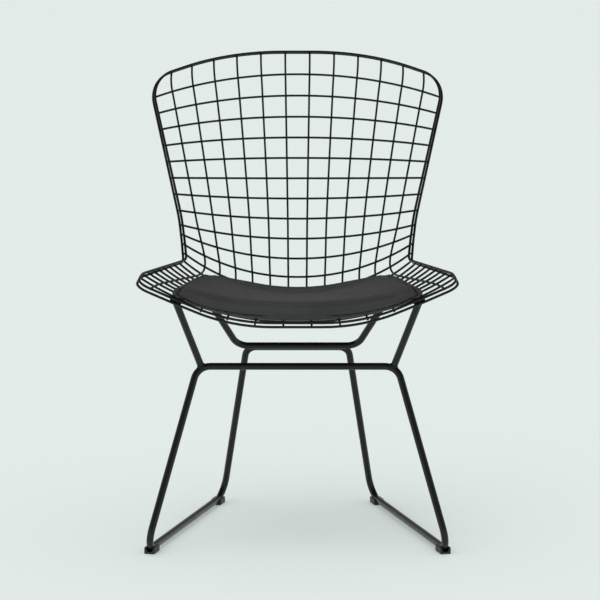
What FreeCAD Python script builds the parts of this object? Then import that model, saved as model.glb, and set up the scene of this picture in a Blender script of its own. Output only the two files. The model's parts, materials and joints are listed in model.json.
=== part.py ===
import FreeCAD
import Part
import Sketcher
import math
import os
from FreeCAD import Vector

# Wire mesh chair: a welded wire shell clamped to a bent rod sled base, with a thin seat pad.
# X is across the chair, the front faces -Y, Z is up from the floor. The chair mirrors about X = 0.

doc = FreeCAD.newDocument("WireMeshChair")

# Driving dimensions, in millimetres unless the name says otherwise.
SIZES = [
    # Centre profile of the shell, from the top rim to the front lip, as corners with bend radii.
    ("top_height", 823),
    ("top_back", 290),
    ("upper_back_height", 706),
    ("upper_back_back", 249),
    ("upper_back_bend", 1000),
    ("waist_height", 376),
    ("waist_back", 104),
    ("waist_bend", 140),
    ("seat_crest_height", 399),
    ("seat_crest_front", 225),
    ("seat_crest_bend", 300),
    ("lip_height", 392.5),
    ("lip_front", 286),
    # Right half of the rim, from the top centre to the front centre.
    ("crown_half_width", 125),
    ("crown_bend", 300),
    ("shoulder_half_width", 267),
    ("shoulder_height", 779),
    ("shoulder_back", 194),
    ("shoulder_bend", 60),
    ("flank_half_width", 208),
    ("flank_height", 535),
    ("flank_back", 98),
    ("flank_bend", 80),
    ("notch_half_width", 196.5),
    ("notch_height", 469),
    ("notch_back", 10),
    ("notch_bend", 35),
    ("wing_half_width", 263),
    ("wing_height", 466.5),
    ("wing_front", 185),
    ("wing_bend", 80),
    ("tip_half_width", 269),
    ("tip_height", 457),
    ("tip_front", 240),
    ("tip_bend", 30),
    ("apron_half_width", 110),
    ("apron_bend", 300),
    # Mesh.
    ("longitudinal_wires", 12),
    ("lateral_wires", 22),
    ("longitudinal_wire_diameter", 3.0),
    ("lateral_wire_diameter", 3.5),
    ("rim_wire_diameter", 4.0),
    ("first_row_above_flank", 11),
    ("last_row_behind_tip", 18),
    ("centre_pitch_growth", 0.12),
    ("flank_rows", 9),
    ("flank_row_pitch", 31.05),
    ("side_pitch_growth", 0.04),
    ("row_curl", 2.3),
    ("waist_station", 12),
    ("outer_wire_top_half_width", 234),
    ("outer_wire_waist_half_width", 160),
    ("outer_wire_front_half_width", 246),
    ("outer_wire_waist_rounding", 4),
    ("wire_facets", 6),
    ("rim_wire_facets", 8),
    # Base of bent rod.
    ("rod_diameter", 12),
    ("front_bar_half_width", 170),
    ("front_bar_front", 170),
    ("front_bar_height", 307.5),
    ("rear_bar_half_width", 91),
    ("rear_bar_back", 70),
    ("rear_bar_height", 306.5),
    ("front_bar_bend", 28),
    ("rear_bar_bend", 20),
    ("front_foot_half_width", 255),
    ("front_foot_front", 277),
    ("rear_foot_half_width", 137),
    ("rear_foot_back", 215),
    ("foot_bend", 28),
    ("strut_bar_half_width", 106.5),
    ("strut_bar_rise", 4),
    ("strut_bend", 30),
    ("front_strut_inset", 6),
    # Glides.
    ("glide_length", 30),
    ("glide_wall", 3),
    ("glide_floor", 3),
    ("glide_side_rise", 2),
    ("glide_clearance", 0.1),
    ("glide_from_foot", 38),
    # Mounts between the struts and the mesh.
    ("mount_width", 20),
    ("mount_depth", 13),
    ("plate_thickness", 4),
    ("cap_thickness", 4.5),
    ("cap_gap", 1.0),
    ("groove_clearance", 0.2),
    ("screw_diameter", 3),
    ("screw_spacing", 13),
    ("screw_head_diameter", 5.5),
    ("screw_head_height", 1.5),
    ("screw_socket", 1.2),
    ("front_mount_wire", 5),
    ("front_mount_share", 0.64),
    ("rear_mount_row", 15),
    ("rear_mount_wire", 5.4),
    # Seat pad and its straps.
    ("pad_rear_distance", 474),
    ("pad_front_margin", 14),
    ("pad_half_width", 208),
    ("pad_edge_thickness", 8),
    ("pad_crown_thickness", 20),
    ("pad_lift", 1.5),
    ("cover_thickness", 1.5),
    ("strap_thickness", 0.8),
    ("strap_width", 16),
    ("strap_wire", 4),
    ("strap_rear_station", 15.5),
    ("strap_front_station", 19.5),
    ("strap_clearance", 0.3),
    ("strap_loop_width", 12),
    ("stud_diameter", 9),
    ("stud_height", 1.6),
]


def fill_sheet(sheet):
    for row, (name, value) in enumerate(SIZES, start=1):
        sheet.set(f"A{row}", name)
        sheet.set(f"B{row}", str(value))
        sheet.setAlias(f"B{row}", name)


sizes = doc.addObject("Spreadsheet::Sheet", "Sizes")
fill_sheet(sizes)
doc.recompute()


def size(name):
    return float(sizes.get(name))


# Paths


def arc_from(start, direction, end):
    """The arc, or the line, that leaves start along direction and reaches end."""
    chord = end - start
    unit = Vector(direction).normalize()
    along = chord.dot(unit)
    across = chord - unit * along
    if across.Length < 1e-6 * chord.Length:
        return Part.LineSegment(start, end).toShape()
    radius = chord.Length**2 / (2 * across.Length)
    side = Vector(across).normalize()
    centre = start + side * radius
    middle = (start + end) * 0.5 - centre
    return Part.Arc(start, centre + middle.normalize() * radius, end).toShape()


def biarc(start, start_direction, end, end_direction):
    """Two tangent arcs between two points with given directions."""
    first = Vector(start_direction).normalize()
    last = Vector(end_direction).normalize()
    chord = end - start
    total = first + last
    spread = 2 * (1 - first.dot(last))
    if spread < 1e-9:
        reach = chord.Length**2 / (4 * chord.dot(last))
    else:
        along = chord.dot(total)
        reach = (math.sqrt(along**2 + spread * chord.Length**2) - along) / spread
    joint = (start + first * reach + end - last * reach) * 0.5
    joint_direction = (end - last * reach) - (start + first * reach)
    return [arc_from(start, first, joint), arc_from(joint, joint_direction, end)]


def corner_turn(points, i):
    """Angle by which the path turns at a corner."""
    back = points[i - 1] - points[i]
    ahead = points[(i + 1) % len(points)] - points[i]
    return math.pi - back.getAngle(ahead)


LARGEST_BEND_SHARE = 0.98


def fitted_radii(points, radii, corners):
    """Bend radii, made smaller where two neighbouring bends need more than the run between them."""
    count = len(points)
    setbacks = [0] * count
    for i in corners:
        setbacks[i] = radii[i] * math.tan(corner_turn(points, i) / 2)
    fitted = list(radii)
    for i in corners:
        for near in ((i - 1) % count, (i + 1) % count):
            run = (points[near] - points[i]).Length * LARGEST_BEND_SHARE
            needed = setbacks[i] + setbacks[near]
            if needed > run:
                fitted[i] = min(fitted[i], radii[i] * run / needed)
    return fitted


def bend_edges(points, wanted_radii, closed):
    """Straight runs between points, joined by tangent arcs of the given radii."""
    count = len(points)
    corners = range(count) if closed else range(1, count - 1)
    radii = fitted_radii(points, wanted_radii, corners)
    edges = []
    here = None if closed else points[0]
    first_start = None
    for i in corners:
        corner = points[i]
        back = (points[i - 1] - corner).normalize()
        ahead = (points[(i + 1) % count] - corner).normalize()
        turn = corner_turn(points, i)
        setback = radii[i] * math.tan(turn / 2)
        start = corner + back * setback
        end = corner + ahead * setback
        inward = (back + ahead).normalize()
        middle = corner + inward * (radii[i] / math.cos(turn / 2) - radii[i])
        if here is None:
            first_start = start
        elif (start - here).Length > 1e-6:
            edges.append(Part.LineSegment(here, start).toShape())
        edges.append(Part.Arc(start, middle, end).toShape())
        here = end
    last = first_start if closed else points[-1]
    if (last - here).Length > 1e-6:
        edges.append(Part.LineSegment(here, last).toShape())
    return edges


def path_length(edges):
    return sum(edge.Length for edge in edges)


def point_on(edges, distance):
    """The point and the direction at a distance along a chain of edges."""
    left = distance
    for edge in edges:
        if left <= edge.Length or edge is edges[-1]:
            parameter = edge.getParameterByLength(min(max(left, 0), edge.Length))
            direction = edge.tangentAt(parameter)
            return edge.valueAt(parameter), direction.normalize()
        left -= edge.Length
    return None


def mirrored(point):
    return Vector(-point.x, point.y, point.z)


# Shell surface: lateral rows from the centre profile out to the rim


def profile_edges():
    points = [
        Vector(0, size("top_back"), size("top_height")),
        Vector(0, size("upper_back_back"), size("upper_back_height")),
        Vector(0, size("waist_back"), size("waist_height")),
        Vector(0, -size("seat_crest_front"), size("seat_crest_height")),
        Vector(0, -size("lip_front"), size("lip_height")),
    ]
    radii = [0, size("upper_back_bend"), size("waist_bend"), size("seat_crest_bend"), 0]
    return bend_edges(points, radii, False)


def rim_corners():
    """Corners of the right half of the rim, from the top centre to the front centre."""
    return [
        Vector(0, size("top_back"), size("top_height")),
        Vector(size("crown_half_width"), size("top_back"), size("top_height")),
        Vector(size("shoulder_half_width"), size("shoulder_back"), size("shoulder_height")),
        Vector(size("flank_half_width"), size("flank_back"), size("flank_height")),
        Vector(size("notch_half_width"), size("notch_back"), size("notch_height")),
        Vector(size("wing_half_width"), -size("wing_front"), size("wing_height")),
        Vector(size("tip_half_width"), -size("tip_front"), size("tip_height")),
        Vector(size("apron_half_width"), -size("lip_front"), size("lip_height")),
        Vector(0, -size("lip_front"), size("lip_height")),
    ]


RIM_BENDS = [
    "crown_bend",
    "shoulder_bend",
    "flank_bend",
    "notch_bend",
    "wing_bend",
    "tip_bend",
    "apron_bend",
]


SHOULDER_ARC = 2 * RIM_BENDS.index("shoulder_bend") + 1
TIP_ARC = 2 * RIM_BENDS.index("tip_bend") + 1
RIM_RADII = [size(name) for name in RIM_BENDS]
RIM_CORNERS = rim_corners()
RIM = bend_edges(RIM_CORNERS, [0] + RIM_RADII + [0], False)
PROFILE = profile_edges()
PROFILE_LENGTH = path_length(PROFILE)
ROW_COUNT = int(size("lateral_wires"))
FRONT_STATION = ROW_COUNT + 1
PAIR_COUNT = int(size("longitudinal_wires")) // 2
FIRST_ROW_END = path_length(RIM[: SHOULDER_ARC + 1]) - size("first_row_above_flank")
LAST_ROW_END = path_length(RIM[:TIP_ARC]) - size("last_row_behind_tip")


def graded(share, growth):
    """A share of a length, with the pitch falling evenly from (1 + growth) to (1 - growth)."""
    return share * (1 + growth * (1 - share))


def profile_point(station):
    """Centre profile at a row station: 0 is the top rim and FRONT_STATION the front rim."""
    share = graded(station / FRONT_STATION, size("centre_pitch_growth"))
    return point_on(PROFILE, PROFILE_LENGTH * share)


def side_point(station):
    """Rim point where the row of a station ends, with the rim's direction there."""
    flank_rows = size("flank_rows")
    last_flank_end = FIRST_ROW_END + (flank_rows - 1) * size("flank_row_pitch")
    if station <= flank_rows:
        return point_on(RIM, last_flank_end - (flank_rows - station) * size("flank_row_pitch"))
    share = graded((station - flank_rows) / (ROW_COUNT - flank_rows), size("side_pitch_growth"))
    return point_on(RIM, last_flank_end + (LAST_ROW_END - last_flank_end) * share)


def row_half(station):
    """Right half of a row: two tangent arcs, flat in the middle and curled towards the rim."""
    centre = profile_point(station)[0]
    side = side_point(station)[0]
    across = Vector(1, 0, 0)
    rise = Vector(0, side.y - centre.y, side.z - centre.z)
    end_direction = across * side.x + rise * size("row_curl")
    return biarc(centre, across, side, end_direction)


def outer_wire_half_width(station):
    """The outermost wires fan in to the waist and out again, with a rounded turn between."""
    waist = size("outer_wire_waist_half_width")
    back = size("outer_wire_top_half_width") - waist
    seat = size("outer_wire_front_half_width") - waist
    upper = back * (1 - station / size("waist_station"))
    lower = seat * (station - size("waist_station")) / (FRONT_STATION - size("waist_station"))
    apart = (upper - lower) / 2
    return waist + (upper + lower) / 2 + math.sqrt(apart**2 + size("outer_wire_waist_rounding") ** 2)


def distance_at_width(edges, half_width):
    """Distance along edges, which run outwards from the centre, at which they are so far out."""
    near = 0
    far = path_length(edges)
    while far - near > 0.001:
        middle = (near + far) / 2
        if point_on(edges, middle)[0].x < half_width:
            near = middle
        else:
            far = middle
    return near


def wire_share(column):
    """Place of a longitudinal wire between the centre and the outermost wire."""
    return (2 * column - 1) / (2 * PAIR_COUNT - 1)


def surface_point(column, station):
    """Mesh surface where a longitudinal wire (1 is next to the centre) crosses a row station."""
    half = row_half(station)
    reach = distance_at_width(half, outer_wire_half_width(station))
    return point_on(half, reach * wire_share(column))


STATION_STEP = 0.05


def column_direction(column, station):
    ahead = surface_point(column, station + STATION_STEP)[0]
    behind = surface_point(column, station - STATION_STEP)[0]
    return (ahead - behind).normalize()


def surface_normal(column, station):
    """Unit normal towards the sitter."""
    across = surface_point(column, station)[1]
    return column_direction(column, station).cross(across).normalize()


# Tubes


def wire_profile(centre, direction, diameter, facets):
    """Section of a wire: a circle, or a regular polygon of the same area."""
    if facets < 3:
        circle = Part.Circle(centre, direction, diameter / 2)
        return Part.Wire([circle.toShape()])
    sector = 2 * math.pi / facets
    corner_radius = math.sqrt(math.pi * (diameter / 2) ** 2 * 2 / (facets * math.sin(sector)))
    turn = FreeCAD.Rotation(Vector(0, 0, 1), direction)
    points = []
    for i in range(facets + 1):
        angle = (i + 0.5) * sector
        flat = Vector(corner_radius * math.cos(angle), corner_radius * math.sin(angle), 0)
        points.append(centre + turn.multVec(flat))
    return Part.makePolygon(points)


VOLUME_MARGIN = 0.002


def tube(edges, diameter, facets=0):
    """A wire or rod of constant section along a chain of tangent edges."""
    start, direction = point_on(edges, 0)
    profile = Part.Face(wire_profile(start, direction, diameter, facets))
    swept = Part.Wire(edges).makePipe(profile)
    solid = max(swept.Solids, key=lambda part: part.Volume)
    expected = path_length(edges) * profile.Area
    if abs(solid.Volume / expected - 1) > VOLUME_MARGIN:
        raise RuntimeError(f"tube of {diameter} mm has {solid.Volume} mm3, not {expected}")
    return solid


# Mesh wires


def lateral_edges(station):
    """Centreline of a lateral wire, on the far side of the mesh surface."""
    depth = size("lateral_wire_diameter") / 2
    centre, down = profile_point(station)
    side, along_rim = side_point(station)
    end = point_on(row_half(station), path_length(row_half(station)))[1]
    centre_normal = down.cross(Vector(1, 0, 0)).normalize()
    side_normal = along_rim.cross(end).normalize()
    middle = centre - centre_normal * depth
    tip = side - side_normal * depth
    rise = Vector(0, tip.y - middle.y, tip.z - middle.z)
    inner, outer = biarc(middle, Vector(1, 0, 0), tip, Vector(tip.x, 0, 0) + rise * size("row_curl"))
    joint = inner.valueAt(inner.LastParameter)
    bow = outer.valueAt((outer.FirstParameter + outer.LastParameter) / 2)
    return [
        Part.Arc(mirrored(tip), mirrored(bow), mirrored(joint)).toShape(),
        Part.Arc(mirrored(joint), middle, joint).toShape(),
        Part.Arc(joint, bow, tip).toShape(),
    ]


def rim_top_point(column):
    top = RIM[:SHOULDER_ARC]
    reach = distance_at_width(top, size("outer_wire_top_half_width"))
    return point_on(top, reach * wire_share(column))[0]


def rim_front_point(column):
    front = RIM[TIP_ARC + 1 :]
    total = path_length(front)
    near = 0
    far = total
    while far - near > 0.001:
        middle = (near + far) / 2
        if point_on(front, total - middle)[0].x < size("outer_wire_front_half_width"):
            near = middle
        else:
            far = middle
    return point_on(front, total - near * wire_share(column))[0]


def longitudinal_edges(column):
    """Centreline of a right-hand longitudinal wire, on the sitter's side of the mesh surface."""
    lift = size("longitudinal_wire_diameter") / 2
    stations = list(range(1, ROW_COUNT, 2)) + [ROW_COUNT]
    points = []
    directions = []
    for station in stations:
        points.append(surface_point(column, station)[0] + surface_normal(column, station) * lift)
        directions.append(column_direction(column, station))
    top = rim_top_point(column) + surface_normal(column, 1) * lift
    front = rim_front_point(column) + surface_normal(column, ROW_COUNT) * lift
    lead = arc_from(points[0], directions[0] * -1, top)
    bow = lead.valueAt((lead.FirstParameter + lead.LastParameter) / 2)
    edges = [Part.Arc(top, bow, points[0]).toShape()]
    for i in range(len(points) - 1):
        edges += biarc(points[i], directions[i], points[i + 1], directions[i + 1])
    edges.append(arc_from(points[-1], directions[-1], front))
    return edges


# Rim wires: one loop on each side of the mesh ends


def station_at(distance):
    """Row station whose end lies at a distance along the rim."""
    near = 1
    far = ROW_COUNT
    target = point_on(RIM, distance)[0]
    while far - near > 0.01:
        middle = (near + far) / 2
        point, direction = side_point(middle)
        if (target - point).dot(direction) > 0:
            near = middle
        else:
            far = middle
    return near


def side_normal(station):
    """Unit normal towards the sitter where a row meets the rim."""
    half = row_half(station)
    return side_point(station)[1].cross(point_on(half, path_length(half))[1]).normalize()


def profile_normal(station):
    return profile_point(station)[1].cross(Vector(1, 0, 0)).normalize()


def rim_wire_edges(on_sitter_side):
    """A rim wire runs beside the ends of the lateral wires at the sides and beside the ends of the
    longitudinal wires at the top and the front."""
    radius = size("rim_wire_diameter") / 2
    if on_sitter_side:
        beside_rows = radius
        beside_columns = size("longitudinal_wire_diameter") + radius
    else:
        beside_rows = -size("lateral_wire_diameter") - radius
        beside_columns = -radius
    last_side_corner = len(RIM_BENDS) - 1
    corners = []
    for i in range(1, len(RIM_CORNERS) - 1):
        if i == 1:
            offset = profile_normal(0) * beside_columns
        elif i > last_side_corner:
            offset = profile_normal(FRONT_STATION) * beside_columns
        else:
            arc_end = path_length(RIM[: 2 * i])
            arc_middle = arc_end - RIM[2 * i - 1].Length / 2
            offset = side_normal(station_at(arc_middle)) * beside_rows
        corners.append(RIM_CORNERS[i] + offset)
    left = [mirrored(corner) for corner in reversed(corners)]
    return bend_edges(corners + left, RIM_RADII + RIM_RADII[::-1], True)


# Base rods


ROD_RADIUS = size("rod_diameter") / 2
RUNNER_HEIGHT = size("glide_floor") + ROD_RADIUS
FRONT_BAR_END = Vector(size("front_bar_half_width"), -size("front_bar_front"), size("front_bar_height"))
FRONT_FOOT = Vector(size("front_foot_half_width"), -size("front_foot_front"), RUNNER_HEIGHT)
REAR_FOOT = Vector(size("rear_foot_half_width"), size("rear_foot_back"), RUNNER_HEIGHT)
REAR_BAR_END = Vector(size("rear_bar_half_width"), size("rear_bar_back"), size("rear_bar_height"))


def sled_edges():
    right = [FRONT_BAR_END, FRONT_FOOT, REAR_FOOT, REAR_BAR_END]
    radii = [size(name) for name in ("front_bar_bend", "foot_bend", "foot_bend", "rear_bar_bend")]
    left = [mirrored(corner) for corner in reversed(right)]
    return bend_edges(right + left, radii + radii[::-1], True)


def frame_at(origin, along, normal):
    """Placement with local Y along a wire and local Z along the mesh normal."""
    across = along.cross(normal).normalize()
    up = across.cross(along).normalize()
    rotation = FreeCAD.Rotation(across, along, up, "ZXY")
    return FreeCAD.Placement(origin, rotation)


def front_mount_frame():
    """The front clamps hold a longitudinal wire between the last lateral wire and the rim."""
    column = int(size("front_mount_wire"))
    last_row = surface_point(column, ROW_COUNT)[0]
    reach = rim_front_point(column) - last_row
    origin = last_row + reach * size("front_mount_share")
    along = Vector(reach).normalize()
    return frame_at(origin, along, surface_normal(column, ROW_COUNT))


def rear_mount_frame():
    """The rear clamps hold a lateral wire under the pad, between the two outermost longitudinal
    wires."""
    station = size("rear_mount_row")
    column = size("rear_mount_wire")
    point, across = surface_point(column, station)
    normal = surface_normal(column, station)
    return frame_at(point - normal * size("lateral_wire_diameter"), across, normal)


FRONT_MOUNT = front_mount_frame()
REAR_MOUNT = rear_mount_frame()


def mirrored_frame(frame):
    """The same frame on the left side, turned so that it stays right-handed."""
    along = frame.Rotation.multVec(Vector(0, 1, 0))
    up = frame.Rotation.multVec(Vector(0, 0, 1))
    return frame_at(mirrored(frame.Base), mirrored(along), mirrored(up))


def under_plate(frame, depth):
    """Point below the middle of a mount plate's underside."""
    return frame.multVec(Vector(0, 0, -size("plate_thickness") - depth))


def below_plate_block(frame):
    """Block above a mount plate's underside, which trims a strut's end to the plate."""
    side = 4 * size("rod_diameter")
    block = Part.makeBox(side, side, side, Vector(-side / 2, -side / 2, -size("plate_thickness")))
    block.Placement = frame
    return block


def front_strut_shape(frame, sled):
    """A straight rod, fish-mouthed on the front bend and trimmed to its mount plate."""
    side = 1 if frame.Base.x > 0 else -1
    foot = Vector(FRONT_BAR_END.x - size("front_strut_inset"), FRONT_BAR_END.y, FRONT_BAR_END.z)
    foot.x *= side
    top = under_plate(frame, 0)
    lean = (top - foot).normalize()
    edges = [Part.LineSegment(foot, top + lean * size("rod_diameter")).toShape()]
    rod = tube(edges, size("rod_diameter"))
    trimmed = rod.cut(below_plate_block(frame)).cut(sled)
    return max(trimmed.Solids, key=lambda solid: solid.Volume)


def rear_strut_edges():
    lift = size("strut_bar_rise")
    forward = math.sqrt(size("rod_diameter") ** 2 - lift**2)
    height = size("rear_bar_height") + lift
    corner = Vector(size("strut_bar_half_width"), size("rear_bar_back") - forward, height)
    top = under_plate(REAR_MOUNT, 0)
    end = top + (top - corner).normalize() * size("rod_diameter")
    points = [end, corner, mirrored(corner), mirrored(end)]
    return bend_edges(points, [0, size("strut_bend"), size("strut_bend"), 0], False)


def rear_strut_shape(sled):
    rod = tube(rear_strut_edges(), size("rod_diameter"))
    for frame in (REAR_MOUNT, mirrored_frame(REAR_MOUNT)):
        rod = rod.cut(below_plate_block(frame))
    trimmed = rod.cut(sled)
    return max(trimmed.Solids, key=lambda solid: solid.Volume)


# Seat pad: a crowned loft whose underside follows the seat


# Share of the pad's length from the rear, share of its half width, share of its thickness
PAD_SECTIONS = [
    (0.0, 0.44, 0.5),
    (0.02, 0.53, 0.65),
    (0.05, 0.605, 0.8),
    (0.09, 0.67, 0.9),
    (0.14, 0.725, 1.0),
    (0.2, 0.77, 1.0),
    (0.28, 0.81, 1.0),
    (0.36, 0.84, 1.0),
    (0.46, 0.875, 1.0),
    (0.57, 0.91, 1.0),
    (0.68, 0.94, 1.0),
    (0.78, 0.97, 1.0),
    (0.85, 0.995, 1.0),
    (0.885, 1.0, 0.95),
    (0.912, 0.904, 0.9),
    (0.932, 0.88, 0.87),
    (0.95, 0.837, 0.83),
    (0.965, 0.77, 0.79),
    (0.978, 0.683, 0.74),
    (0.99, 0.558, 0.66),
    (1.0, 0.404, 0.55),
]


def seat_rise(origin, forward, up, half_width):
    """Height of the mesh over the centre profile, in the plane across the seat at origin."""
    near = 1
    far = FRONT_STATION - STATION_STEP
    while far - near > 0.01:
        station = (near + far) / 2
        half = row_half(station)
        point = point_on(half, distance_at_width(half, half_width))[0]
        if (point - origin).dot(forward) < 0:
            near = station
        else:
            far = station
    return (point - origin).dot(up)


def pad_section(share, width_share, thickness_share, inset):
    """Closed section across the pad: underside, side, crowned top and side, all arcs."""
    rear = size("pad_rear_distance")
    front = PROFILE_LENGTH - size("pad_front_margin")
    distance = rear + inset + (front - rear - 2 * inset) * share
    origin, forward = point_on(PROFILE, distance)
    across = Vector(1, 0, 0)
    up = forward.cross(across).normalize()
    half_width = size("pad_half_width") * width_share - inset
    rise = seat_rise(origin, forward, up, half_width)
    bottom = size("longitudinal_wire_diameter") + size("pad_lift") + inset
    edge = size("pad_edge_thickness") * thickness_share - 2 * inset
    crown = size("pad_crown_thickness") * thickness_share - 2 * inset
    low_side = origin + across * half_width + up * (rise + bottom)
    low_middle = origin + up * bottom
    high_side = low_side + up * edge
    high_middle = low_middle + up * crown
    bulge = (low_side + high_side) * 0.5 + across * (edge * 0.25)
    return Part.Wire(
        [
            Part.Arc(mirrored(low_side), low_middle, low_side).toShape(),
            Part.Arc(low_side, bulge, high_side).toShape(),
            Part.Arc(high_side, high_middle, mirrored(high_side)).toShape(),
            Part.Arc(mirrored(high_side), mirrored(bulge), mirrored(low_side)).toShape(),
        ]
    )


def pad_solid(inset):
    sections = [pad_section(*section, inset) for section in PAD_SECTIONS]
    return Part.makeLoft(sections, True, True)


def strap_frame(station):
    """Placement on the strapped wire at a row station, local Y along the wire."""
    column = int(size("strap_wire"))
    origin = surface_point(column, station)[0]
    return frame_at(origin, column_direction(column, station), surface_normal(column, station))


def flat_bar(width, bottom, top, length):
    """A bar along Y with a section rounded at both sides, standing from bottom to top."""
    radius = (top - bottom) / 2
    reach = width / 2 - radius
    front = -length / 2
    along = Vector(0, 1, 0)
    middle = Part.makeBox(2 * reach, length, top - bottom, Vector(-reach, front, bottom))
    sides = [
        Part.makeCylinder(radius, length, Vector(side * reach, front, bottom + radius), along)
        for side in (-1, 1)
    ]
    return middle.fuse(sides).removeSplitter()


STRAP_BOTTOM = -size("strap_clearance") - size("strap_thickness")


def strap_shape(station):
    """A strap under the pad, looped round a longitudinal wire between two lateral wires."""
    thickness = size("strap_thickness")
    width = size("strap_loop_width")
    top = size("longitudinal_wire_diameter") + size("strap_clearance") + thickness
    outer = flat_bar(width, STRAP_BOTTOM, top, size("strap_width"))
    inner = flat_bar(
        width - 2 * thickness, STRAP_BOTTOM + thickness, top - thickness, 2 * size("strap_width")
    )
    loop = outer.cut(inner)
    loop.Placement = strap_frame(station)
    return loop


def stud_shape(station):
    """The press stud that closes a strap, on the strap's underside."""
    height = size("stud_height")
    stud = Part.makeCylinder(
        size("stud_diameter") / 2, height, Vector(0, 0, STRAP_BOTTOM), Vector(0, 0, -1)
    )
    stud.Placement = strap_frame(station)
    return stud


def both_sides(shapes):
    """A compound of the shapes and their mirror images."""
    left = [shape.mirror(Vector(0, 0, 0), Vector(1, 0, 0)) for shape in shapes]
    return Part.makeCompound(shapes + left)


# Document objects


subparts = []


def add_feature(name, shape):
    """A sub-part whose shape follows the mesh surface and has no plainer construction."""
    feature = doc.addObject("Part::Feature", name)
    feature.Label = name
    feature.Shape = shape
    subparts.append(feature)
    return feature


def origin_plane(body, role):
    return next(item for item in body.Origin.OriginFeatures if item.Role == role)


def add_body(name):
    body = doc.addObject("PartDesign::Body", name)
    body.Label = name
    subparts.append(body)
    return body


def add_sketch(body, name, role):
    sketch = body.newObject("Sketcher::SketchObject", name)
    sketch.AttachmentSupport = (origin_plane(body, role), [""])
    sketch.MapMode = "FlatFace"
    return sketch


def name_dimension(sketch, index, name, expression):
    sketch.renameConstraint(index, name)
    sketch.setExpression(f"Constraints.{name}", expression)


def draw_clamp_outline(sketch):
    """Rectangle about the origin with two screw holes on its long axis."""
    wide = size("mount_width") / 2
    deep = size("mount_depth") / 2
    corners = [
        Vector(-wide, -deep, 0),
        Vector(wide, -deep, 0),
        Vector(wide, deep, 0),
        Vector(-wide, deep, 0),
    ]
    for i in range(4):
        sketch.addGeometry(Part.LineSegment(corners[i], corners[(i + 1) % 4]), False)
    for i in range(4):
        sketch.addConstraint(Sketcher.Constraint("Coincident", i, 2, (i + 1) % 4, 1))
    sketch.addConstraint(Sketcher.Constraint("Horizontal", 0))
    sketch.addConstraint(Sketcher.Constraint("Horizontal", 2))
    sketch.addConstraint(Sketcher.Constraint("Vertical", 1))
    sketch.addConstraint(Sketcher.Constraint("Vertical", 3))
    sketch.addConstraint(Sketcher.Constraint("Symmetric", 0, 1, 2, 1, -1, 1))
    width = sketch.addConstraint(Sketcher.Constraint("DistanceX", 0, 1, 0, 2, 2 * wide))
    depth = sketch.addConstraint(Sketcher.Constraint("DistanceY", 1, 1, 1, 2, 2 * deep))
    name_dimension(sketch, width, "width", "Sizes.mount_width")
    name_dimension(sketch, depth, "depth", "Sizes.mount_depth")
    half_spacing = size("screw_spacing") / 2
    radius = size("screw_diameter") / 2
    for side in (-1, 1):
        sketch.addGeometry(Part.Circle(Vector(side * half_spacing, 0, 0), Vector(0, 0, 1), radius), False)
    sketch.addConstraint(Sketcher.Constraint("Symmetric", 4, 3, 5, 3, -1, 1))
    sketch.addConstraint(Sketcher.Constraint("PointOnObject", 4, 3, -1))
    sketch.addConstraint(Sketcher.Constraint("Equal", 4, 5))
    spacing = sketch.addConstraint(Sketcher.Constraint("DistanceX", 4, 3, 5, 3, 2 * half_spacing))
    hole = sketch.addConstraint(Sketcher.Constraint("Diameter", 4, 2 * radius))
    name_dimension(sketch, spacing, "spacing", "Sizes.screw_spacing")
    name_dimension(sketch, hole, "hole", "Sizes.screw_diameter")


def add_mount_plate(name, frame):
    """Plate welded to a strut top, under the clamped wire, with two tapped holes."""
    body = add_body(name)
    sketch = add_sketch(body, name + "_outline", "XY_Plane")
    draw_clamp_outline(sketch)
    pad = body.newObject("PartDesign::Pad", name + "_pad")
    pad.Profile = sketch
    pad.Reversed = True
    pad.setExpression("Length", "Sizes.plate_thickness")
    body.Tip = pad
    body.Placement = frame


def add_clamp_cap(name, frame, wire_alias):
    """Cap over the clamped wire, with a round channel for it and two screw holes."""
    body = add_body(name)
    sketch = add_sketch(body, name + "_outline", "XY_Plane")
    sketch.setExpression(".AttachmentOffset.Base.z", "Sizes.cap_gap")
    draw_clamp_outline(sketch)
    pad = body.newObject("PartDesign::Pad", name + "_pad")
    pad.Profile = sketch
    pad.setExpression("Length", "Sizes.cap_thickness")
    channel = add_sketch(body, name + "_channel", "XZ_Plane")
    radius = size(wire_alias) / 2 + size("groove_clearance")
    centre = Vector(0, size(wire_alias) / 2, 0)
    channel.addGeometry(Part.Circle(centre, Vector(0, 0, 1), radius), False)
    channel.addConstraint(Sketcher.Constraint("PointOnObject", 0, 3, -2))
    height = channel.addConstraint(Sketcher.Constraint("DistanceY", -1, 1, 0, 3, centre.y))
    bore = channel.addConstraint(Sketcher.Constraint("Radius", 0, radius))
    name_dimension(channel, height, "height", f"Sizes.{wire_alias} / 2")
    name_dimension(channel, bore, "bore", f"Sizes.{wire_alias} / 2 + Sizes.groove_clearance")
    doc.recompute()
    pocket = body.newObject("PartDesign::Pocket", name + "_pocket")
    pocket.Profile = channel
    pocket.Type = "Length"
    pocket.Midplane = True
    pocket.setExpression("Length", "Sizes.mount_depth * 2")
    body.Tip = pocket
    body.Placement = frame


def screw_shape():
    """Cap screw along Z, its head's seat at the top of the clamp cap, flush below the plate."""
    seat = size("cap_gap") + size("cap_thickness")
    length = seat + size("plate_thickness")
    down = Vector(0, 0, -1)
    shank = Part.makeCylinder(size("screw_diameter") / 2, length, Vector(0, 0, seat), down)
    head = Part.makeCylinder(
        size("screw_head_diameter") / 2, size("screw_head_height"), Vector(0, 0, seat)
    )
    top = seat + size("screw_head_height")
    corners = [
        Vector(
            size("screw_socket") * math.cos(i * math.pi / 3),
            size("screw_socket") * math.sin(i * math.pi / 3),
            top,
        )
        for i in range(7)
    ]
    depth = Vector(0, 0, -size("screw_socket"))
    socket = Part.Face(Part.makePolygon(corners)).extrude(depth)
    return shank.fuse(head).removeSplitter().cut(socket)


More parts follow.
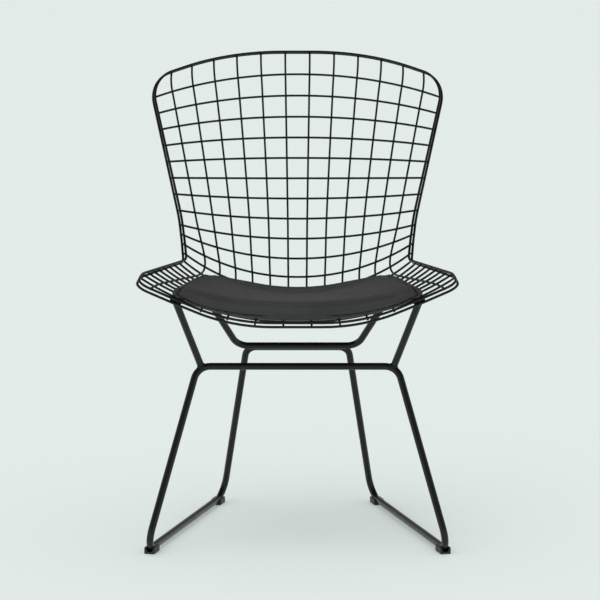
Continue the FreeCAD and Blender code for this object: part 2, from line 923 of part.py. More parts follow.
def glide_outline():
    """U section of a glide about the runner, standing on the floor at Z = 0."""
    inner = ROD_RADIUS + size("glide_clearance")
    outer = inner + size("glide_wall")
    top = RUNNER_HEIGHT + size("glide_side_rise")
    corner = size("glide_floor") / 2
    slant = corner * (1 - math.sqrt(0.5))
    return [
        Part.LineSegment(Vector(-outer + corner, 0, 0), Vector(outer - corner, 0, 0)),
        Part.Arc(
            Vector(outer - corner, 0, 0), Vector(outer - slant, slant, 0), Vector(outer, corner, 0)
        ),
        Part.LineSegment(Vector(outer, corner, 0), Vector(outer, top, 0)),
        Part.LineSegment(Vector(outer, top, 0), Vector(inner, top, 0)),
        Part.LineSegment(Vector(inner, top, 0), Vector(inner, RUNNER_HEIGHT, 0)),
        Part.Arc(
            Vector(inner, RUNNER_HEIGHT, 0),
            Vector(0, RUNNER_HEIGHT - inner, 0),
            Vector(-inner, RUNNER_HEIGHT, 0),
        ),
        Part.LineSegment(Vector(-inner, RUNNER_HEIGHT, 0), Vector(-inner, top, 0)),
        Part.LineSegment(Vector(-inner, top, 0), Vector(-outer, top, 0)),
        Part.LineSegment(Vector(-outer, top, 0), Vector(-outer, corner, 0)),
        Part.Arc(
            Vector(-outer, corner, 0),
            Vector(-outer + slant, slant, 0),
            Vector(-outer + corner, 0, 0),
        ),
    ]


def add_glide(name, near_foot, far_foot):
    """Saddle glide clipped over a runner, a set distance from the foot bend."""
    body = add_body(name)
    sketch = add_sketch(body, name + "_section", "XZ_Plane")
    sketch.addGeometry(glide_outline(), False)
    pad = body.newObject("PartDesign::Pad", name + "_pad")
    pad.Profile = sketch
    pad.Midplane = True
    pad.setExpression("Length", "Sizes.glide_length")
    body.Tip = pad
    run = (far_foot - near_foot).normalize()
    place = near_foot + run * size("glide_from_foot")
    place.z = 0
    body.Placement = FreeCAD.Placement(place, FreeCAD.Rotation(Vector(0, 1, 0), run))


FACETS = int(size("wire_facets"))

for column in range(PAIR_COUNT, 0, -1):
    right = tube(longitudinal_edges(column), size("longitudinal_wire_diameter"), FACETS)
    left = right.mirror(Vector(0, 0, 0), Vector(1, 0, 0))
    add_feature(f"longitudinal_wire_{PAIR_COUNT + 1 - column:02d}", left)
    add_feature(f"longitudinal_wire_{PAIR_COUNT + column:02d}", right)

for station in range(1, ROW_COUNT + 1):
    wire = tube(lateral_edges(station), size("lateral_wire_diameter"), FACETS)
    add_feature(f"lateral_wire_{station:02d}", wire)

rim_facets = int(size("rim_wire_facets"))
add_feature("rim_wire_inner", tube(rim_wire_edges(True), size("rim_wire_diameter"), rim_facets))
add_feature("rim_wire_outer", tube(rim_wire_edges(False), size("rim_wire_diameter"), rim_facets))

sled = tube(sled_edges(), size("rod_diameter"))
add_feature("sled_frame", sled)
add_feature("front_strut_right", front_strut_shape(FRONT_MOUNT, sled))
add_feature("front_strut_left", front_strut_shape(mirrored_frame(FRONT_MOUNT), sled))
add_feature("rear_strut_frame", rear_strut_shape(sled))

MOUNTS = [
    ("front_right", FRONT_MOUNT, "longitudinal_wire_diameter"),
    ("front_left", mirrored_frame(FRONT_MOUNT), "longitudinal_wire_diameter"),
    ("rear_right", REAR_MOUNT, "lateral_wire_diameter"),
    ("rear_left", mirrored_frame(REAR_MOUNT), "lateral_wire_diameter"),
]
screws = []
for place, frame, wire_alias in MOUNTS:
    add_mount_plate("mount_plate_" + place, frame)
    add_clamp_cap("clamp_cap_" + place, frame, wire_alias)
    for side in (-1, 1):
        screw = screw_shape()
        screw.translate(Vector(side * size("screw_spacing") / 2, 0, 0))
        screw.Placement = frame.multiply(screw.Placement)
        screws.append(screw)
add_feature("clamp_screws", Part.makeCompound(screws))

GLIDES = [
    ("glide_front_right", FRONT_FOOT, REAR_FOOT),
    ("glide_rear_right", REAR_FOOT, FRONT_FOOT),
    ("glide_front_left", mirrored(FRONT_FOOT), mirrored(REAR_FOOT)),
    ("glide_rear_left", mirrored(REAR_FOOT), mirrored(FRONT_FOOT)),
]
for name, near_foot, far_foot in GLIDES:
    add_glide(name, near_foot, far_foot)

foam = pad_solid(size("cover_thickness"))
add_feature("pad_cover", pad_solid(0).cut(foam))
add_feature("pad_foam", foam)
STRAP_STATIONS = [size("strap_rear_station"), size("strap_front_station")]
add_feature("pad_straps", both_sides([strap_shape(station) for station in STRAP_STATIONS]))
add_feature("strap_studs", both_sides([stud_shape(station) for station in STRAP_STATIONS]))

doc.recompute()


def check_document():
    """Stop before writing anything if an object failed or a sub-part's shape is unusable."""
    for item in doc.Objects:
        if "Invalid" in item.State or "Error" in item.State:
            raise RuntimeError(f"{item.Label} failed: {item.State}")
    for subpart in subparts:
        if subpart.Shape.isNull() or not subpart.Shape.isValid() or subpart.Shape.Volume <= 0:
            raise RuntimeError(f"{subpart.Label} has no valid shape")


check_document()
os.makedirs("parts", exist_ok=True)
for subpart in subparts:
    subpart.Shape.exportStep(f"parts/{subpart.Label}.step")
print(len(subparts), "sub-parts written")
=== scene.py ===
import bmesh
import bpy
import json
import math
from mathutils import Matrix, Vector
from mathutils.bvhtree import BVHTree
from mathutils.geometry import convex_hull_2d, intersect_point_line
from mathutils.kdtree import KDTree


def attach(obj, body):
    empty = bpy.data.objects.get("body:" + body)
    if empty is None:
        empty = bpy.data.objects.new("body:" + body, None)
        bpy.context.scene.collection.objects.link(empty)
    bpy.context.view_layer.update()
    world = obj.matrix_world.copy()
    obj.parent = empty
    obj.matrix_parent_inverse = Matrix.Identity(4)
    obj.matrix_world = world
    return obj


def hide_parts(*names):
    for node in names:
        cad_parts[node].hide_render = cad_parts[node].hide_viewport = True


# Wire mesh chair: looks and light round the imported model. Lengths are in metres.

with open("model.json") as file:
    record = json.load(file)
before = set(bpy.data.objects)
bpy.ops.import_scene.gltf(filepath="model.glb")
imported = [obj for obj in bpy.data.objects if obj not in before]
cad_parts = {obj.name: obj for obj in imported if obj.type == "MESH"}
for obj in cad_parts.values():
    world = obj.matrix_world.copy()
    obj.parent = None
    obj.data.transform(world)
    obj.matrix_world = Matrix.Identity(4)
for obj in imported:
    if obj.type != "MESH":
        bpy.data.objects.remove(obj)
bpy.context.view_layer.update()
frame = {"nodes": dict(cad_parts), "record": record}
scene = bpy.context.scene
scene.view_settings.view_transform = "Standard"

UP = Vector((0, 0, 1))


def add_object(name, data):
    made = bpy.data.objects.new(name, data)
    scene.collection.objects.link(made)
    return made


def mesh_data(name, mesh):
    """The bmesh as mesh data; the bmesh is freed."""
    data = bpy.data.meshes.new(name)
    mesh.to_mesh(data)
    mesh.free()
    return data


def shade_smooth(data):
    for polygon in data.polygons:
        polygon.use_smooth = True


def neighbours(items, closed):
    """Each item with the next one, and the last with the first where the line closes."""
    return list(zip(items, items[1:] + items[:1] if closed else items[1:]))


def middle(points):
    return sum(points, Vector()) / len(points)


# The photograph's camera, in its 600 by 600 frame

FRAME_PX = 600
FOCAL_PX = 2797.2
AXIS_PX = 297.5
SENSOR_MM = 36
CAMERA_PLACE = (0, -4.881, 1.0152)
CAMERA_TILT = 0.1254
VIEW_DEPTH = 200


def make_camera():
    data = bpy.data.cameras.new("camera")
    data.sensor_width = SENSOR_MM
    data.lens = FOCAL_PX * SENSOR_MM / FRAME_PX
    data.shift_x = (FRAME_PX / 2 - AXIS_PX) / FRAME_PX
    data.clip_end = VIEW_DEPTH
    camera = add_object("camera", data)
    camera.location = CAMERA_PLACE
    camera.rotation_euler = (math.pi / 2 - CAMERA_TILT, 0, 0)
    scene.camera = camera


# Materials


class Tree:
    """A node tree, with short calls for the nodes that the materials and the sky share."""

    def __init__(self, owner):
        owner.use_nodes = True
        self.tree = owner.node_tree

    def node(self, kind, **values):
        made = self.tree.nodes.new(kind)
        for name, value in values.items():
            setattr(made, name, value)
        return made

    def link(self, output, target):
        self.tree.links.new(output, target)

    def math(self, operation, first, second):
        made = self.node("ShaderNodeMath", operation=operation)
        for target, value in zip(made.inputs, (first, second)):
            if isinstance(value, (int, float)):
                target.default_value = value
            else:
                self.link(value, target)
        return made.outputs["Value"]

    def spread(self, source, low, high, start=0.0, end=1.0, curve="LINEAR"):
        """The source, from low at the start of its range to high at the end."""
        made = self.node("ShaderNodeMapRange", interpolation_type=curve)
        made.inputs["From Min"].default_value = start
        made.inputs["From Max"].default_value = end
        made.inputs["To Min"].default_value = low
        made.inputs["To Max"].default_value = high
        self.link(source, made.inputs["Value"])
        return made.outputs["Result"]

    def mix(self, factor, first, second):
        made = self.node("ShaderNodeMixShader")
        for target, output in zip(made.inputs, (factor, first, second)):
            self.link(output, target)
        return made.outputs["Shader"]


class Finish(Tree):
    """A procedural material, in its piece's own coordinates."""

    def __init__(self, name):
        self.material = bpy.data.materials.new(name)
        super().__init__(self.material)
        self.inputs = self.tree.nodes["Principled BSDF"].inputs
        self.place = self.node("ShaderNodeTexCoord").outputs["Object"]

    def noise(self, scale, detail, roughness=0.55):
        made = self.node("ShaderNodeTexNoise")
        made.inputs["Scale"].default_value = scale
        made.inputs["Detail"].default_value = detail
        made.inputs["Roughness"].default_value = roughness
        self.link(self.place, made.inputs["Vector"])
        return made.outputs["Fac"]

    def cells(self, scale, feature):
        made = self.node("ShaderNodeTexVoronoi", feature=feature)
        made.inputs["Scale"].default_value = scale
        self.link(self.place, made.inputs["Vector"])
        return made.outputs["Distance"]

    def colour(self, factor, low, high):
        """Base colour between two tones."""
        made = self.node("ShaderNodeMix", data_type="RGBA")
        made.inputs["A"].default_value = (*low, 1)
        made.inputs["B"].default_value = (*high, 1)
        self.link(factor, made.inputs["Factor"])
        self.link(made.outputs["Result"], self.inputs["Base Color"])

    def rough(self, source, low, high):
        self.link(self.spread(source, low, high), self.inputs["Roughness"])

    def specular(self, level):
        self.inputs["Specular IOR Level"].default_value = level

    def bump(self, height, distance, strength):
        made = self.node("ShaderNodeBump")
        made.inputs["Distance"].default_value = distance
        made.inputs["Strength"].default_value = strength
        self.link(height, made.inputs["Height"])
        self.link(made.outputs["Normal"], self.inputs["Normal"])


def grey(level):
    return (level, level, level)


def shade(tone, share):
    return tuple(channel * share for channel in tone)


def coating_material(name, tone, roughness):
    """Black powder coat: a fine orange peel, and a tone that drifts a little along the wire."""
    coat = Finish(name)
    coat.colour(coat.noise(scale=9, detail=4), shade(tone, 0.8), shade(tone, 1.25))
    coat.rough(coat.noise(scale=55, detail=4), roughness - 0.07, roughness + 0.09)
    dimples = coat.math("MULTIPLY", coat.noise(scale=420, detail=2), 0.3)
    peel = coat.math("ADD", coat.noise(scale=1500, detail=2), dimples)
    coat.bump(peel, distance=0.00004, strength=0.35)
    coat.specular(BLACK_SPECULAR)
    return coat.material


def leather_material(name, dark, light):
    """Fine-grained leather: small cells under larger soft creases, in a slightly clouded tone."""
    leather = Finish(name)
    cloud = leather.noise(scale=14, detail=5, roughness=0.6)
    leather.colour(leather.spread(cloud, 0, 1, start=0.3, end=0.7), dark, light)
    leather.rough(leather.noise(scale=120, detail=4), 0.42, 0.6)
    soft = leather.noise(scale=85, detail=6, roughness=0.7)
    creases = leather.math("MULTIPLY", leather.spread(soft, 0, 1, start=0.35, end=0.65), 0.25)
    grain = leather.math("ADD", leather.cells(780, "DISTANCE_TO_EDGE"), creases)
    leather.bump(grain, distance=0.00035, strength=0.55)
    leather.specular(BLACK_SPECULAR)
    return leather.material


def plastic_material(name, tone):
    plastic = Finish(name)
    plastic.colour(plastic.noise(scale=40, detail=4), shade(tone, 0.75), shade(tone, 1.3))
    plastic.rough(plastic.noise(scale=260, detail=3), 0.45, 0.62)
    plastic.bump(plastic.noise(scale=2200, detail=2), distance=0.00005, strength=0.5)
    return plastic.material


def foam_material(name, tone):
    foam = Finish(name)
    foam.colour(foam.noise(scale=60, detail=4), shade(tone, 0.85), tone)
    foam.rough(foam.noise(scale=300, detail=2), 0.85, 0.98)
    foam.bump(foam.cells(900, "F1"), distance=0.0004, strength=0.7)
    return foam.material


BLACK_SPECULAR = 0.33
BLACK_COAT = (0.0055, 0.0057, 0.006)
BLACK_STEEL = (0.03, 0.03, 0.031)
MATERIALS = {
    "wire_coating": coating_material("wire_coating", BLACK_COAT, 0.32),
    "rod_coating": coating_material("rod_coating", BLACK_COAT, 0.27),
    "screw_steel": coating_material("screw_steel", BLACK_STEEL, 0.3),
    "stud_metal": coating_material("stud_metal", BLACK_STEEL, 0.28),
    "glide_plastic": plastic_material("glide_plastic", (0.012, 0.012, 0.013)),
    "pad_leather": leather_material("pad_leather", (0.035, 0.0355, 0.036), (0.046, 0.047, 0.048)),
    # The seam's rolled edge is a real seam, but its near-black tone, far darker than the pad's
    # leather, is painted shade of the valley it lies in
    "pad_seam_with_painted_shade": leather_material("pad_seam_with_painted_shade", grey(0.004), grey(0.007)),
    "strap_leather": leather_material("strap_leather", grey(0.018), grey(0.028)),
    "pad_foam": foam_material("pad_foam", (0.55, 0.52, 0.42)),
}
SLOT_OF = {entry["node"]: entry["material_slot"] for entry in frame["record"]["subparts"]}


def give_material(piece, name):
    piece.data.materials.clear()
    piece.data.materials.append(MATERIALS[name])


def dress_nodes():
    for name, node in frame["nodes"].items():
        give_material(node, SLOT_OF[name])


# Wires: the faceted solids become round, and their coat runs together where they cross

WELD = 1e-6
WIRE_SIDES = 16
WIRE_CHAMFER = 0.0004
WIRE_RADII = {"longitudinal_wire": 0.00185, "lateral_wire": 0.00195, "rim_wire": 0.0022}
BEND_STEP = math.radians(5)
# The fold between two facets of a wire: more than at a bend, less than at the wire's end
LEAST_RIDGE_FOLD = 0.5
MOST_RIDGE_FOLD = 1.3
# How many points a ridge is searched back and on for the point beside the lead
SEARCH_BACK = 3
SEARCH_ON = 6


def welded_copy(node):
    """The node's mesh as a welded bmesh."""
    mesh = bmesh.new()
    mesh.from_mesh(frame["nodes"][node].data)
    bmesh.ops.remove_doubles(mesh, verts=mesh.verts, dist=WELD)
    return mesh


def new_piece(name, mesh, slot, *replaced):
    data = mesh_data(name, mesh)
    shade_smooth(data)
    piece = add_object(name, data)
    give_material(piece, slot)
    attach(piece, "root")
    if replaced:
        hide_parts(*replaced)
    return piece


def ridge_lines(mesh):
    """The long corner edges of a faceted tube, each as a line of points, and whether they close."""
    ridges = {e for e in mesh.edges if LEAST_RIDGE_FOLD < e.calc_face_angle(0) < MOST_RIDGE_FOLD}
    beside = {v: [e.other_vert(v) for e in v.link_edges if e in ridges] for v in mesh.verts}
    closed = all(len(near) == 2 for near in beside.values())
    used = set()
    lines = []
    for first in mesh.verts:
        if first in used or len(beside[first]) != (2 if closed else 1):
            continue
        line = []
        onward = [first]
        while onward:
            line.append(onward[0])
            used.add(onward[0])
            onward = [v for v in beside[onward[0]] if v not in used]
        lines.append([v.co.copy() for v in line])
    return lines, closed


def in_step(line, lead, closed):
    """The line, run the same way as the lead and begun beside it. A closed one laps its ends."""
    if closed:
        start = min(range(len(line)), key=lambda k: (line[k] - lead[0]).length)
        line = line[start:] + line[:start]
        if (line[1] - line[0]).dot(lead[1] - lead[0]) < 0:
            line = line[:1] + line[:0:-1]
        return line[-2:] + line + line[:2]
    if (line[-1] - lead[0]).length < (line[0] - lead[0]).length:
        line = line[::-1]
    return line


def points_beside(lead, line):
    """The nearest point of the line to each point of the lead, which it runs in step with."""
    found = []
    now = 0
    for place in lead:
        nearest = []
        for k in range(max(0, now - SEARCH_BACK), min(len(line) - 1, now + SEARCH_ON)):
            share = intersect_point_line(place, line[k], line[k + 1])[1]
            point = line[k].lerp(line[k + 1], max(0, min(1, share)))
            nearest.append(((point - place).length, k, point))
        _, now, point = min(nearest)
        found.append(point)
    return found


def station_between(start, end, t):
    """Centre, direction and side vector on the smooth curve between two stations."""
    (place, direction, side), (next_place, next_direction, next_side) = start, end
    reach = (next_place - place).length
    centre = (
        place * (1 - t) ** 2 * (1 + 2 * t)
        + next_place * t**2 * (3 - 2 * t)
        + direction * reach * t * (1 - t) ** 2
        - next_direction * reach * t**2 * (1 - t)
    )
    return centre, direction.lerp(next_direction, t).normalized(), side.lerp(next_side, t)


def tube_stations(lines, closed):
    """Centre, direction and side vector along the tube, with more stations round the bends."""
    lead = lines[0]
    around = [points_beside(lead, in_step(line, lead, closed)) for line in lines[1:]]
    centres = [middle(corners) for corners in zip(lead, *around)]
    stations = []
    for i, centre in enumerate(centres):
        runs = []
        if closed or i > 0:
            runs.append(centre - centres[i - 1])
        if closed or i < len(centres) - 1:
            runs.append(centres[(i + 1) % len(centres)] - centre)
        direction = sum((run.normalized() / run.length for run in runs), Vector()).normalized()
        stations.append((centre, direction, lead[i] - centre))
    dense = []
    for start, end in neighbours(stations, closed):
        dense.append(start)
        steps = math.ceil(start[1].angle(end[1]) / BEND_STEP)
        dense.extend(station_between(start, end, k / steps) for k in range(1, steps))
    if not closed:
        dense.append(stations[-1])
    return dense


def round_tube(stations, radius, closed):
    """Mesh of a round wire through the stations; the ends of an open one are chamfered."""
    mesh = bmesh.new()
    angles = [2 * math.pi * k / WIRE_SIDES for k in range(WIRE_SIDES)]

    def ring(place, direction, side, size):
        out = (side - direction * side.dot(direction)).normalized()
        up = direction.cross(out)
        spokes = [out * math.cos(angle) + up * math.sin(angle) for angle in angles]
        return [mesh.verts.new(place + spoke * size) for spoke in spokes]

    rings = [ring(*station, radius) for station in stations]
    if not closed:
        for end, inner, inwards in ((0, 0, 1), (-1, len(rings), -1)):
            place, direction, side = stations[end]
            for vertex in rings[end]:
                vertex.co += direction * inwards * WIRE_CHAMFER
            cap = ring(place, direction, side, radius - WIRE_CHAMFER)
            mesh.faces.new(cap if end else cap[::-1])
            rings.insert(inner, cap)
    for near, far in neighbours(rings, closed):
        for k in range(WIRE_SIDES):
            after = (k + 1) % WIRE_SIDES
            mesh.faces.new((near[k], near[after], far[after], far[k]))
    return mesh


def round_wires():
    """Each wire gets a round section in place of its facets."""
    for node in sorted(frame["nodes"]):
        kind = next((kind for kind in WIRE_RADII if node.startswith(kind)), None)
        if kind is None:
            continue
        faceted = welded_copy(node)
        lines, closed = ridge_lines(faceted)
        faceted.free()
        mesh = round_tube(tube_stations(lines, closed), WIRE_RADII[kind], closed)
        new_piece(node + "_round", mesh, "wire_coating", node)


# Weld beads: the coat runs over a small bead round the foot of each front strut

BEAD_RADIUS = 0.0018
BEAD_STEPS = 32
FOOT_HEIGHT = 0.03
SHARP_FOLD = 0.6


def weld_bead(strut):
    """Follows the sharp edge round the strut's foot, in even turns about the strut's axis."""
    mesh = welded_copy(strut)
    sharp = {v for edge in mesh.edges if edge.calc_face_angle(0) > SHARP_FOLD for v in edge.verts}
    points = [v.co.copy() for v in mesh.verts if v in sharp]
    mesh.free()
    level = min(point.z for point in points) + FOOT_HEIGHT
    foot = [point for point in points if point.z < level]
    centre = middle(foot)
    axis = (middle([point for point in points if point.z >= level]) - centre).normalized()
    right = axis.orthogonal().normalized()
    front = axis.cross(right)
    turns = []
    for point in foot:
        out = point - centre
        turns.append((math.atan2(out.dot(front), out.dot(right)), point))
    turns.sort(key=lambda turn: turn[0])
    (first_angle, first), (last_angle, last) = turns[0], turns[-1]
    turns.insert(0, (last_angle - 2 * math.pi, last))
    turns.append((first_angle + 2 * math.pi, first))
    edge = []
    for k in range(BEAD_STEPS):
        angle = 2 * math.pi * k / BEAD_STEPS - math.pi
        after = next(i for i, turn in enumerate(turns) if turn[0] > angle)
        (low, start), (high, end) = turns[after - 1 : after + 1]
        edge.append(start.lerp(end, (angle - low) / (high - low)))
    loop = [middle([edge[k - 1], edge[k], edge[(k + 1) % BEAD_STEPS]]) for k in range(BEAD_STEPS)]
    stations = []
    for k, place in enumerate(loop):
        along = (loop[(k + 1) % BEAD_STEPS] - loop[k - 1]).normalized()
        stations.append((place, along, place - centre))
    new_piece(strut + "_weld", round_tube(stations, BEAD_RADIUS, True), "rod_coating")


# Seat pad

PAD_VOXEL = 0.003
PAD_GROWTH = 0.0006
# Cloth under pressure, which moves no point further than the swell
PAD_SWELL = 0.002
PAD_FRAMES = 20
PAD_CLOTH = {
    "use_pressure": True,
    "uniform_pressure_force": 4,
    "mass": 0.4,
    "tension_stiffness": 12,
    "compression_stiffness": 12,
    "bending_stiffness": 1.5,
}
# The seam runs this far inside the outline, in a valley, with a rolled edge of the leather in it
SEAM_INSET = 0.0075
SEAM_DEPTH = 0.0008
SEAM_WIDTH = 0.002
SEAM_CORD = 0.0018
SEAM_LIFT = SEAM_CORD / 4
SEAM_STEP = 0.004
SEAM_SMOOTHING = 2
# Outside the seam the pad has this share of its height, and rises to all of it inside
FLANGE_SHARE = 0.4
FLANGE_RISE = 0.011
OUTLINE_STEP = 0.0005
TANGENT_REACH = 3


def outer_shell(mesh):
    """Keeps the widest of the loose shells."""
    left = set(mesh.verts)
    shells = []
    while left:
        stack = [left.pop()]
        shell = set(stack)
        while stack:
            for edge in stack.pop().link_edges:
                for vertex in edge.verts:
                    if vertex in left:
                        left.remove(vertex)
                        shell.add(vertex)
                        stack.append(vertex)
        shells.append(shell)
    shells.sort(key=lambda shell: max(v.co.x for v in shell) - min(v.co.x for v in shell))
    for shell in shells[:-1]:
        bmesh.ops.delete(mesh, geom=list(shell), context="VERTS")


def apply_modifiers(piece):
    graph = bpy.context.evaluated_depsgraph_get()
    data = bpy.data.meshes.new_from_object(piece.evaluated_get(graph))
    piece.modifiers.clear()
    old = piece.data
    piece.data = data
    bpy.data.meshes.remove(old)


def swell(piece):
    """Fills the cover with pressure."""
    apply_modifiers(piece)
    start = [v.co.copy() for v in piece.data.vertices]
    settings = piece.modifiers.new("cloth", "CLOTH").settings
    settings.effector_weights.gravity = 0
    for name, value in PAD_CLOTH.items():
        setattr(settings, name, value)
    for number in range(1, PAD_FRAMES + 1):
        scene.frame_set(number)
    apply_modifiers(piece)
    scene.frame_set(1)
    for vertex, rest in zip(piece.data.vertices, start):
        move = vertex.co - rest
        if move.length > PAD_SWELL:
            vertex.co = rest + move.normalized() * PAD_SWELL


def plan_outline(points):
    """Convex outline in plan, which the pad's is."""
    flat = [point.xy for point in points]
    return [flat[i] for i in convex_hull_2d(flat)]


def inset_loop(outline, inset, step):
    """Points evenly spaced on the outline, moved inwards."""
    centre = sum(outline, Vector((0, 0))) / len(outline)
    sides = neighbours(outline, True)
    lengths = [(end - start).length for start, end in sides]
    count = int(sum(lengths) / step)
    spaced = []
    for k in range(count):
        left = sum(lengths) * k / count
        i = 0
        while left > lengths[i]:
            left -= lengths[i]
            i += 1
        start, end = sides[i]
        spaced.append(start.lerp(end, left / lengths[i]))
    loop = []
    for k, place in enumerate(spaced):
        along = (spaced[(k + TANGENT_REACH) % count] - spaced[k - TANGENT_REACH]).normalized()
        inward = Vector((-along.y, along.x))
        if inward.dot(centre - place) < 0:
            inward = -inward
        loop.append(place + inward * inset)
    return loop


def surface_tree(piece):
    corners = [v.co for v in piece.data.vertices]
    return BVHTree.FromPolygons(corners, [p.vertices for p in piece.data.polygons])


def shape_edge(piece, outline):
    """Outside the seam the two panels lie together as a thin flange, and the seam is a valley."""
    places = inset_loop(outline, 0, OUTLINE_STEP)
    near = KDTree(len(places))
    for k, place in enumerate(places):
        near.insert((*place, 0), k)
    near.balance()
    tree = surface_tree(piece)
    for vertex in piece.data.vertices:
        plan = Vector((*vertex.co.xy, 0))
        past_seam = near.find(plan)[2] - SEAM_INSET
        if past_seam > FLANGE_RISE:
            continue
        under = tree.ray_cast(plan, UP)[0]
        if not under:
            continue
        rise = max(0, past_seam / FLANGE_RISE)
        share = FLANGE_SHARE + (1 - FLANGE_SHARE) * rise * rise * (3 - 2 * rise)
        height = (vertex.co.z - under.z) * share
        if height > SEAM_DEPTH:
            height -= SEAM_DEPTH * math.exp(-((past_seam / SEAM_WIDTH) ** 2))
        vertex.co.z = under.z + height


def sew_seam(piece, outline):
    """The seam's rolled edge, laid in the valley; its near-black tone is painted shade of the
    valley.
    """
    tree = surface_tree(piece)
    points = []
    for place in inset_loop(outline, SEAM_INSET, SEAM_STEP):
        hit = tree.ray_cast(Vector((*place, 1)), -UP)[0]
        if hit:
            points.append(hit + UP * SEAM_LIFT)
    curve = bpy.data.curves.new("pad_seam_with_painted_shade", "CURVE")
    curve.dimensions = "3D"
    curve.bevel_depth = SEAM_CORD / 2
    curve.bevel_resolution = 2
    spline = curve.splines.new("NURBS")
    spline.points.add(len(points) - 1)
    for k, point in enumerate(spline.points):
        reach = range(k - SEAM_SMOOTHING, k + SEAM_SMOOTHING + 1)
        point.co = (*middle([points[j % len(points)] for j in reach]), 1)
    spline.order_u = 3
    spline.use_cyclic_u = True
    seam = add_object("pad_seam_with_painted_shade", curve)
    give_material(seam, "pad_seam_with_painted_shade")
    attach(seam, "root")


def make_pad():
    mesh = welded_copy("pad_cover")
    outer_shell(mesh)
    bmesh.ops.recalc_face_normals(mesh, faces=mesh.faces)
    outline = plan_outline([v.co for v in mesh.verts])
    for vertex, out in [(v, v.normal.copy()) for v in mesh.verts]:
        vertex.co += out * PAD_GROWTH
    pad = new_piece("seat_pad", mesh, "pad_leather", "pad_cover", "pad_foam")
    remesh = pad.modifiers.new("remesh", "REMESH")
    remesh.mode = "VOXEL"
    remesh.voxel_size = PAD_VOXEL
    swell(pad)
    subdivide = pad.modifiers.new("subdivide", "SUBSURF")
    subdivide.levels = 1
    subdivide.render_levels = 1
    apply_modifiers(pad)
    shape_edge(pad, outline)
    sew_seam(pad, outline)
    shade_smooth(pad.data)
    give_material(pad, "pad_leather")


# Studio

FLOOR_SIZE = 120
FLOOR_TONE = (0.75, 0.82, 0.795)
FLOOR_GLOW = 0.3
SKY_LEVEL = 0.84
# What the coat reflects. Each ramp runs along one axis of the direction that is reflected: where it
# starts and ends, and the brightness at both
LOW_GLOW = (0.1, 0.75, 0.5, 0.06)
LOW_GLOW_FRONT_TO_BACK = (-0.6, 0.3, 1, 0.35)
SIDE_GLOW = (0.7, 0.9, 0, 0.6)
SIDE_GLOW_UPWARDS = (0.3, 0.8, 1, 0)
BACK_GLOW_UPWARDS = (0.15, 0.4, 0.4, 0)
BACK_GLOW_FRONT_TO_BACK = (0.3, 0.8, 0, 1)


def make_floor():
    """A plain floor: it keeps the chair's shadow, faint as in the photograph, because part of what
    is seen of it is its own even tone."""
    mesh = bmesh.new()
    bmesh.ops.create_grid(mesh, x_segments=1, y_segments=1, size=FLOOR_SIZE / 2)
    floor = add_object("floor", mesh_data("floor", mesh))
    paint = Finish("floor")
    paint.inputs["Base Color"].default_value = (*FLOOR_TONE, 1)
    paint.inputs["Roughness"].default_value = 0.9
    paint.specular(0.1)
    tone = paint.node("ShaderNodeEmission")
    tone.inputs["Color"].default_value = (*FLOOR_TONE, 1)
    path = paint.node("ShaderNodeLightPath").outputs
    seen = paint.math("MAXIMUM", path["Is Camera Ray"], path["Is Glossy Ray"])
    seen = paint.math("MAXIMUM", seen, path["Is Transmission Ray"])
    share = paint.math("MULTIPLY", seen, FLOOR_GLOW)
    nodes = paint.tree.nodes
    shader = paint.mix(share, nodes["Principled BSDF"].outputs[0], tone.outputs[0])
    paint.link(shader, nodes["Material Output"].inputs["Surface"])
    floor.data.materials.append(paint.material)


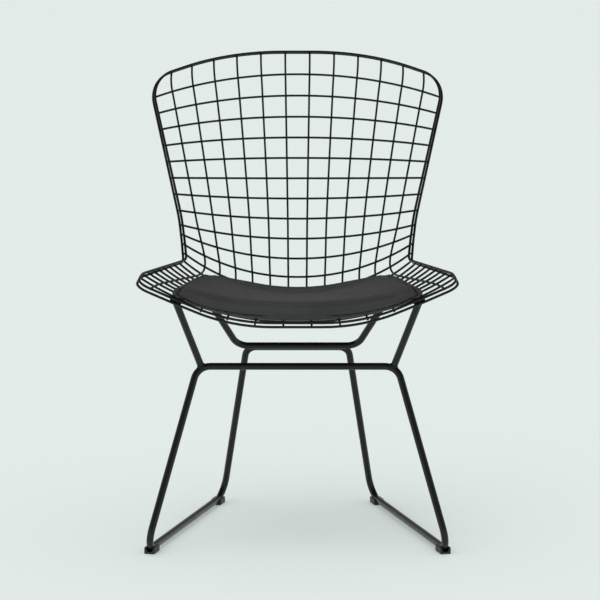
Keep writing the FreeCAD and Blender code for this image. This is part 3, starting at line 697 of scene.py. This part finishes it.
def make_world():
    """An even sky lights the chair. What its coat reflects is pale in front, and low down at the
    sides and behind, and dark overhead. The camera sees the floor's tone beyond the floor."""
    world = bpy.data.worlds.new("studio")
    sky = Tree(world)
    nodes = sky.tree.nodes

    def ramp(axis, start, end, low, high):
        return sky.spread(way[axis], low, high, start, end, "SMOOTHSTEP")

    compass = sky.node("ShaderNodeSeparateXYZ")
    sky.link(sky.node("ShaderNodeTexCoord").outputs["Generated"], compass.inputs["Vector"])
    way = {axis: compass.outputs[axis] for axis in "XYZ"}
    way["side"] = sky.math("ABSOLUTE", way["X"], 0)
    low = sky.math("MULTIPLY", ramp("Z", *LOW_GLOW), ramp("Y", *LOW_GLOW_FRONT_TO_BACK))
    sides = sky.math("MULTIPLY", ramp("side", *SIDE_GLOW), ramp("Z", *SIDE_GLOW_UPWARDS))
    back = sky.math("MULTIPLY", ramp("Z", *BACK_GLOW_UPWARDS), ramp("Y", *BACK_GLOW_FRONT_TO_BACK))
    glow = sky.math("ADD", low, sky.math("ADD", sides, back))

    even = nodes["Background"]
    reflected = sky.node("ShaderNodeBackground")
    beyond = sky.node("ShaderNodeBackground")
    even.inputs["Color"].default_value = (*grey(1), 1)
    even.inputs["Strength"].default_value = SKY_LEVEL
    reflected.inputs["Color"].default_value = (*grey(1), 1)
    sky.link(glow, reflected.inputs["Strength"])
    beyond.inputs["Color"].default_value = (*FLOOR_TONE, 1)

    path = sky.node("ShaderNodeLightPath").outputs
    lit = sky.mix(path["Is Glossy Ray"], even.outputs[0], reflected.outputs[0])
    shader = sky.mix(path["Is Camera Ray"], lit, beyond.outputs[0])
    sky.link(shader, nodes["World Output"].inputs["Surface"])
    scene.world = world


def make_sun(name, azimuth, elevation, strength, spread):
    """A soft distant lamp. Azimuth 0 shines from the front and 90 from the left of the picture."""
    data = bpy.data.lights.new(name, "SUN")
    data.energy = strength
    data.angle = math.radians(spread)
    turn, rise = math.radians(azimuth), math.radians(elevation)
    level = math.cos(rise)
    back = Vector((-math.sin(turn) * level, -math.cos(turn) * level, math.sin(rise)))
    lamp = add_object(name, data)
    lamp.rotation_mode = "QUATERNION"
    lamp.rotation_quaternion = (-back).to_track_quat("-Z", "Y")
    lamp.visible_glossy = False


def make_studio():
    make_floor()
    make_world()
    make_sun("key", azimuth=30, elevation=75, strength=0.4, spread=30)
    make_sun("fill", azimuth=25, elevation=35, strength=0.5, spread=60)


make_camera()
dress_nodes()
round_wires()
weld_bead("front_strut_left")
weld_bead("front_strut_right")
make_pad()
make_studio()
